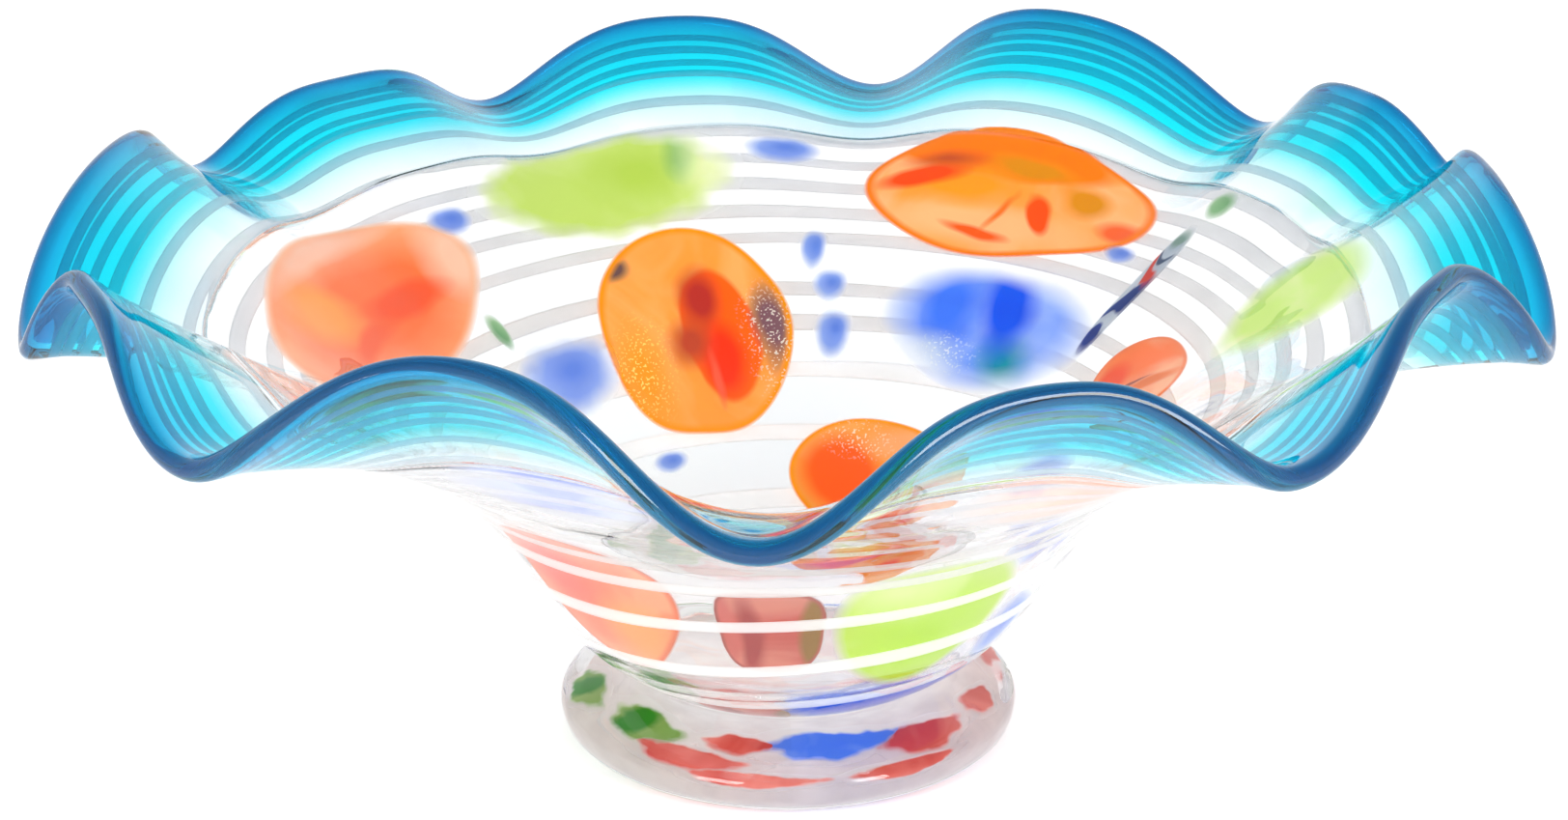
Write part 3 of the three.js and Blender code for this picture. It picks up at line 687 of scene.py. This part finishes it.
ORANGE = dict(body=rgb(252, 168, 58), pale=rgb(255, 188, 98), rim=rgb(255, 156, 5))
LIME = dict(body=rgb(198, 226, 84), pale=rgb(214, 235, 130), rim=rgb(200, 224, 110))
BLUE = dict(body=rgb(120, 162, 240), pale=rgb(165, 192, 244), rim=rgb(150, 180, 240))
STREAKY = dict(
    waver=((1, 0.12, 20), (3, 0.1, 140), (7, 0.05, 60)), squareness=1.15, spread=(1.9, 1.6),
    opacity=0.85, fade=(0.6, 0.76), ragged=0.5, grain=130,
)
LOOKS = {
    "orange_patch_1": Look(**ORANGE, waver=((3, 0.06, 270), (5, 0.015, 40)), spots=(
        (rgb(250, 162, 25), (-0.62, -0.38), (0.22, 0.42), 20, 0.7),
        (rgb(255, 104, 0), (0.27, -0.05), (0.4, 0.62), 4, 0.05),
        (rgb(255, 50, 0), (0.25, -0.3), (0.22, 0.3), 0, 0.4),
        (rgb(195, 45, 32), (0.12, 0.28), (0.19, 0.25), 0, 0.5),
        (rgb(200, 72, 38), (-0.06, -0.14), (0.2, 0.18), 0, 0.6),
        (rgb(255, 98, 62), (0.17, -0.48), (0.05, 0.22), 8, 0.5),
        (rgb(128, 86, 96), (0.8, 0.0), (0.15, 0.36), 0, 0.5),
        (rgb(105, 78, 78), (-0.6, 0.7), (0.13, 0.1), 30, 0.4),
    ), flecks=(
        (rgb(255, 250, 235), (0.76, -0.1), (0.2, 0.4)),
        (rgb(255, 235, 120), (-0.62, -0.3), (0.25, 0.35)),
    )),
    "orange_patch_2": Look(
        body=rgb(255, 174, 78), pale=rgb(255, 198, 130), rim=rgb(250, 130, 18),
        waver=((1, 0.05, 0), (2, 0.06, 0), (3, 0.05, 0), (4, 0.03, 0)), spots=(
            (rgb(255, 132, 5), (-0.1, 0.62), (0.78, 0.42), -3, 0.1),
            (rgb(255, 200, 135), (-0.1, -0.5), (0.75, 0.28), 0, 0.4),
            (rgb(255, 166, 28), (-0.3, 0.05), (0.45, 0.25), 10, 0.5),
            (rgb(225, 150, 10), (0.15, 0.42), (0.32, 0.15), -5, 0.4),
            (rgb(225, 150, 15), (0.55, 0.1), (0.13, 0.2), 0, 0.4),
            (rgb(252, 76, 5), (-0.62, 0.12), (0.3, 0.14), 28, 0.3),
            (rgb(205, 84, 30), (-0.48, 0.4), (0.2, 0.1), 10, 0.8),
            (rgb(255, 82, 5), (0.34, -0.24), (0.08, 0.3), 20, 0.2),
            (rgb(250, 92, 18), (-0.08, -0.62), (0.26, 0.07), -16, 0.4),
            (rgb(250, 118, 32), (0.04, -0.26), (0.03, 0.26), -16, 0.6),
            (rgb(245, 105, 45), (0.85, -0.15), (0.14, 0.12), 20, 0.4),
        )),
    "orange_patch_3": Look(**ORANGE, spots=(
        (rgb(255, 100, 12), (-0.35, 0.0), (0.45, 0.6), 10, 0.25),
        (rgb(255, 182, 112), (0.35, 0.6), (0.45, 0.25), 0, 0.4),
        (rgb(245, 70, 10), (0.3, -0.2), (0.25, 0.35), -20, 0.3),
    ), flecks=((rgb(255, 245, 220), (-0.2, 0.6), (0.3, 0.25)),)),
    "orange_patch_4": Look(
        body=rgb(252, 158, 96), pale=rgb(254, 178, 124), rim=rgb(250, 194, 152), opacity=0.84,
        fade=(0.93, 1.0), spread=(1.14, 1.06),
        waver=((1, 0.04, 200), (2, 0.03, 40), (3, 0.05, 160), (4, 0.03, 20)), spots=(
            (rgb(250, 124, 52), (0.05, -0.1), (0.72, 0.62), 0, 0.3),
            (rgb(255, 168, 62), (-0.32, 0.22), (0.2, 0.42), 10, 0.4),
            (rgb(248, 208, 178), (0.85, 0.0), (0.2, 0.5), 0, 0.5),
            (rgb(248, 200, 170), (0.1, 0.75), (0.5, 0.15), -5, 0.5),
            (rgb(245, 88, 26), (0.3, -0.2), (0.36, 0.2), -12, 0.3),
            (rgb(245, 98, 28), (-0.25, -0.35), (0.3, 0.12), 12, 0.4),
        )),
    "orange_patch_5": Look(
        body=rgb(246, 128, 62), pale=rgb(250, 190, 145), rim=rgb(238, 130, 75), opacity=0.8, spots=(
            (rgb(238, 85, 40), (-0.5, -0.2), (0.32, 0.4), 0, 0.3),
            (rgb(250, 202, 162), (0.55, -0.3), (0.4, 0.4), 0, 0.4),
            (rgb(228, 122, 48), (0.3, 0.15), (0.1, 0.6), -35, 0.3),
            (rgb(140, 80, 70), (-0.1, -0.1), (0.035, 0.5), -40, 0.3),
        )),
    "orange_patch_6": Look(
        body=rgb(250, 200, 178), pale=rgb(252, 222, 205), rim=rgb(250, 215, 195), opacity=0.55,
        fade=(0.35, 1.0)),
    "coral_patch_1": Look(
        body=rgb(242, 142, 100), pale=rgb(246, 168, 122), rim=rgb(226, 122, 82), spots=(
            (rgb(234, 102, 80), (0.35, 0.25), (0.45, 0.6), 0, 0.6),
            (rgb(246, 168, 98), (-0.4, -0.45), (0.4, 0.4), 0, 0.5),
        )),
    "red_patch": Look(
        body=rgb(196, 84, 72), pale=rgb(214, 128, 108), rim=rgb(170, 80, 70), squareness=0.62,
        ragged=0.08, grain=120, spots=(
            (rgb(166, 56, 52), (0.3, -0.2), (0.22, 0.9), 0, 0.4),
            (rgb(206, 100, 88), (0.72, 0.1), (0.16, 0.8), 0, 0.5),
            (rgb(146, 104, 40), (-0.74, 0.0), (0.2, 0.9), 0, 0.4),
        )),
    "green_patch": Look(
        body=rgb(92, 160, 72), pale=rgb(150, 190, 110), rim=rgb(150, 190, 120), opacity=0.75,
        fade=(0.6, 0.95), ragged=0.3, grain=120),
    "lime_patch_1": Look(
        body=rgb(204, 226, 112), pale=rgb(220, 236, 150), rim=rgb(228, 240, 180), spread=(1.2, 1.15),
        fade=(0.7, 0.95), ragged=0.25, grain=90, spots=(
            (rgb(192, 218, 86), (0.25, 0.1), (0.3, 0.5), 0, 0.7),
            (rgb(150, 196, 110), (0.56, 0.3), (0.1, 0.35), 0, 0.5),
            (rgb(236, 244, 190), (0.8, 0.2), (0.2, 0.6), 0, 0.6),
        )),
    "lime_patch_2": Look(**LIME, opacity=0.8, fade=(0.85, 1.0), spots=(
        (rgb(186, 224, 48), (0.0, -0.3), (0.7, 0.5), 0, 0.8),
        (rgb(226, 240, 160), (0.4, 0.5), (0.4, 0.3), 0, 0.8),
    )),
    "lime_patch_3": Look(
        body=rgb(206, 232, 118), pale=rgb(224, 240, 162), rim=rgb(220, 238, 160), opacity=0.75,
        fade=(0.6, 1.0), ragged=0.1, spread=(1.1, 1.1)),
    "blue_patch_1": Look(
        **BLUE, opacity=0.68, fade=(0.62, 0.98), spread=(1.1, 1.12), ragged=0.12, spots=(
            (rgb(66, 128, 240), (-0.42, 0.15), (0.26, 0.7), 0, 0.6),
            (rgb(192, 208, 230), (-0.55, -0.65), (0.35, 0.3), 0, 0.5),
            (rgb(0, 150, 168), (0.3, -0.5), (0.2, 0.32), 10, 0.7),
            (rgb(10, 88, 232), (0.08, 0.35), (0.2, 0.7), 8, 0.4),
        ), flecks=((rgb(240, 245, 255), (-0.3, -0.55), (0.25, 0.2)),)),
    "blue_patch_2": Look(
        body=rgb(165, 178, 234), pale=rgb(205, 214, 245), rim=rgb(200, 210, 245), opacity=0.5,
        fade=(0.3, 1.0)),
    "blue_patch_3": Look(**BLUE, opacity=0.7, fade=(0.5, 1.0), spots=(
        (rgb(70, 105, 215), (0.0, 0.0), (0.4, 0.7), 20, 0.6),
    )),
    "blue_patch_4": Look(
        **BLUE, opacity=0.9, fade=(0.7, 0.95), ragged=0.4, grain=120, spread=(1.6, 2.2), spots=(
            (rgb(35, 85, 220), (0.1, 0.2), (0.8, 0.5), 0, 0.4),
        )),
    "blue_chip": Look(
        body=rgb(142, 170, 230), pale=rgb(172, 194, 238), rim=rgb(172, 194, 240), opacity=0.62,
        fade=(0.5, 0.95), spread=(1.25, 1.25), ragged=0.15, grain=110, spots=(
            (rgb(100, 138, 222), (0.1, 0.1), (0.5, 0.5), 0, 0.8),
        )),
    "green_chip": Look(
        body=rgb(95, 160, 105), pale=rgb(160, 200, 150), rim=rgb(150, 195, 150), opacity=0.7,
        fade=(0.5, 1.0)),
    "cane_chip": Look(
        body=rgb(150, 170, 190), pale=rgb(190, 200, 210), rim=rgb(170, 180, 195), squareness=0.6,
        waver=(), opacity=0.75, fade=(0.8, 1.0), spots=(
            (rgb(28, 50, 130), (0.0, -0.72), (1.2, 0.24), 0, 0.1),
            (rgb(30, 52, 120), (0.1, -0.1), (1.0, 0.16), 8, 0.15),
            (rgb(205, 60, 50), (-0.1, 0.22), (0.9, 0.1), -8, 0.2),
            (rgb(60, 80, 110), (0.0, 0.42), (0.9, 0.05), 0, 0.3),
            (rgb(120, 150, 140), (0.0, 0.8), (1.0, 0.16), 6, 0.3),
        )),
    "foot_streak_red": Look(
        body=rgb(206, 72, 62), pale=rgb(230, 128, 116), rim=rgb(226, 140, 130), **STREAKY),
    "foot_streak_green": Look(
        body=rgb(95, 155, 52), pale=rgb(146, 172, 92), rim=rgb(160, 190, 130), **STREAKY, spots=(
            (rgb(40, 130, 25), (0.2, 0.0), (0.3, 0.8), 10, 0.3),
        )),
    "foot_streak_blue": Look(
        body=rgb(80, 128, 230), pale=rgb(150, 180, 240), rim=rgb(150, 180, 240), **STREAKY),
}
COLOURED = [node for node in sorted(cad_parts)
            if any(node.startswith(look) for look in LOOKS)]

fused = fused_glass()
make_body([clear_glass(), fused])
make_lip([aqua_glass(), fused])
make_trail(white_glass())
make_foot([clear_glass("foot_glass", ripple=0.7), fused, ground_glass()])

glasses = {}
for node in COLOURED:
    key = node if node in LOOKS else node.rsplit("_", 1)[0]
    if key not in glasses:
        glasses[key] = lens_glass(key + "_glass", LOOKS[key])
    colour = key.split("_")[2 if key.startswith("foot") else 0]
    make = make_streak if key.startswith("foot") else make_patch
    make(node, glasses[key], colour + "_glass", LOOKS[key])


# ---------------------------------------------------------------- the studio

FLOOR_HALF = 12.0  # half of the floor's side
FLOOR_DROP = 0.0004  # how far the floor lies below the foot, so that their faces don't meet
LIGHT_TARGET = (0, 0, 0.08)  # the point of the bowl that the lights face


def make_floor():
    mesh = bpy.data.meshes.new("floor")
    size = FLOOR_HALF
    corners = [(-size, -size, 0), (size, -size, 0), (size, size, 0), (-size, size, 0)]
    mesh.from_pydata(corners, [], [(0, 1, 2, 3)])
    floor = bpy.data.objects.new("floor", mesh)
    bpy.context.scene.collection.objects.link(floor)
    floor.location.z = -FLOOR_DROP
    shader = Shader("floor", Roughness=0.8, Emission_Strength=0.35)
    shader.bsdf.inputs["Emission Color"].default_value = (1, 1, 1, 1)
    shader.colour(shader.ramp(shader.noise(3),
                              [(0.3, (0.93, 0.93, 0.93)), (0.7, (0.96, 0.96, 0.96))]))
    mesh.materials.append(shader.material)


def make_light(name, place, size, power, shows=True):
    """A softbox that faces the bowl. One that doesn't show lights the bowl but isn't mirrored in it."""
    data = bpy.data.lights.new(name, "AREA")
    data.shape = "RECTANGLE"
    data.size, data.size_y = size
    data.energy = power
    light = bpy.data.objects.new(name, data)
    light.visible_glossy = shows
    light.location = place
    aim = np.array(LIGHT_TARGET) - np.array(place)
    light.rotation_euler = (math.atan2(math.hypot(aim[0], aim[1]), -aim[2]), 0,
                            math.atan2(aim[1], aim[0]) - math.pi / 2)
    bpy.context.scene.collection.objects.link(light)


def make_world():
    """A white horizon that darkens towards the top of the room."""
    world = bpy.data.worlds.new("studio")
    bpy.context.scene.world = world
    world.use_nodes = True
    tree = world.node_tree
    coordinate = tree.nodes.new("ShaderNodeTexCoord")
    split = tree.nodes.new("ShaderNodeSeparateXYZ")
    tree.links.new(coordinate.outputs["Generated"], split.inputs[0])
    greys = [(0.0, 1.0), (0.3, 1.0), (0.5, 0.75), (0.75, 0.4), (1.0, 0.28)]
    sky = add_ramp(tree, split.outputs["Z"], [(height, (grey,) * 3) for height, grey in greys])
    tree.links.new(sky, tree.nodes["Background"].inputs["Color"])


CAMERA_DISTANCE = 0.8406
CAMERA_HEIGHT = 0.4106
CAMERA_SIDE = -0.0012
CAMERA_PITCH = 20.65
LENS = 73.8
SENSOR = 36.0


def make_camera():
    data = bpy.data.cameras.new("camera")
    data.lens = LENS
    data.sensor_width = SENSOR
    camera = bpy.data.objects.new("camera", data)
    camera.location = (CAMERA_SIDE, -CAMERA_DISTANCE, CAMERA_HEIGHT)
    camera.rotation_euler = (math.radians(90 - CAMERA_PITCH), 0, 0)
    bpy.context.scene.collection.objects.link(camera)
    bpy.context.scene.camera = camera


make_floor()
make_light("top_fill", (0.0, -0.3, 2.0), (2.0, 2.0), 12, shows=False)
make_light("left_softbox", (-0.75, -1.2, 0.75), (0.5, 0.55), 10)
make_light("right_softbox", (0.95, -1.1, 0.75), (0.5, 0.55), 10)
make_world()
make_camera()

scene = bpy.context.scene
scene.view_settings.view_transform = "Standard"
scene.cycles.max_bounces = 24
scene.cycles.transmission_bounces = 20
scene.cycles.transparent_max_bounces = 24
